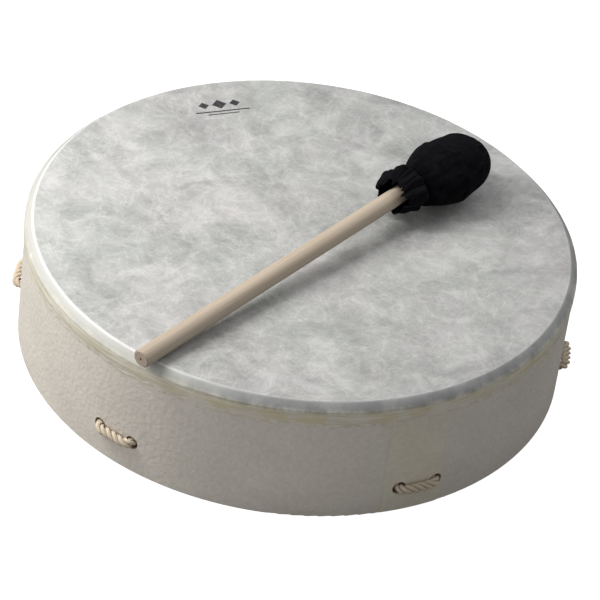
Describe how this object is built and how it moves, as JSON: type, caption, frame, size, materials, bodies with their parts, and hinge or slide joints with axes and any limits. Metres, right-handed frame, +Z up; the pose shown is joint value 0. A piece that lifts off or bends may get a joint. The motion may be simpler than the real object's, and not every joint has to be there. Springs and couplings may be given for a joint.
{
  "type": "frame drum with mallet",
  "caption": "Shallow one-headed frame drum with a rope handle laced through its shell, and a padded mallet lying on the head.",
  "frame": {"origin": "centre of the drum's open lower rim, in the plane it stands on", "axes": "+Z up along the drum's axis towards the head; +Y away from the viewer, so the mallet's butt is at the front left and its pad at the back right"},
  "size_m": [0.3712, 0.3568, 0.1304],
  "materials": {
    "shell_fibre": "matt wound-fibre board, clear sealed",
    "wrap_grey": "pale grey covering with a paper-grain emboss",
    "strip_grey": "the same covering, as a joint strip",
    "head_film": "fibrous coated polyester film",
    "glue_amber": "dried amber adhesive",
    "rope_cream": "three-strand cream rope",
    "stick_wood": "pale sanded hardwood dowel",
    "core_felt": "wool felt stuffing",
    "cover_cloth": "black brushed cloth",
    "tie_cord": "black waxed cord"
  },
  "bodies": {
    "drum": {"collar_glue": "glue_amber", "drumhead": "head_film", "handle_knot_a": "rope_cream", "handle_knot_b": "rope_cream", "handle_knot_c": "rope_cream", "handle_ring": "rope_cream", "handle_rope_a": "rope_cream", "handle_rope_b": "rope_cream", "handle_rope_c": "rope_cream", "shell": "shell_fibre", "shell_wrap": "wrap_grey", "wrap_joint_strip": "strip_grey"},
    "mallet": {"mallet_core": "core_felt", "mallet_cover": "cover_cloth", "mallet_stick": "stick_wood", "mallet_tie": "tie_cord", "mallet_tie_knot": "tie_cord"}
  },
  "joints": [
    {"name": "mallet_lift", "type": "slide", "parent": "drum", "child": "mallet", "axis": [0, 0, 1], "range_m": [0, 0.12]}
  ]
}
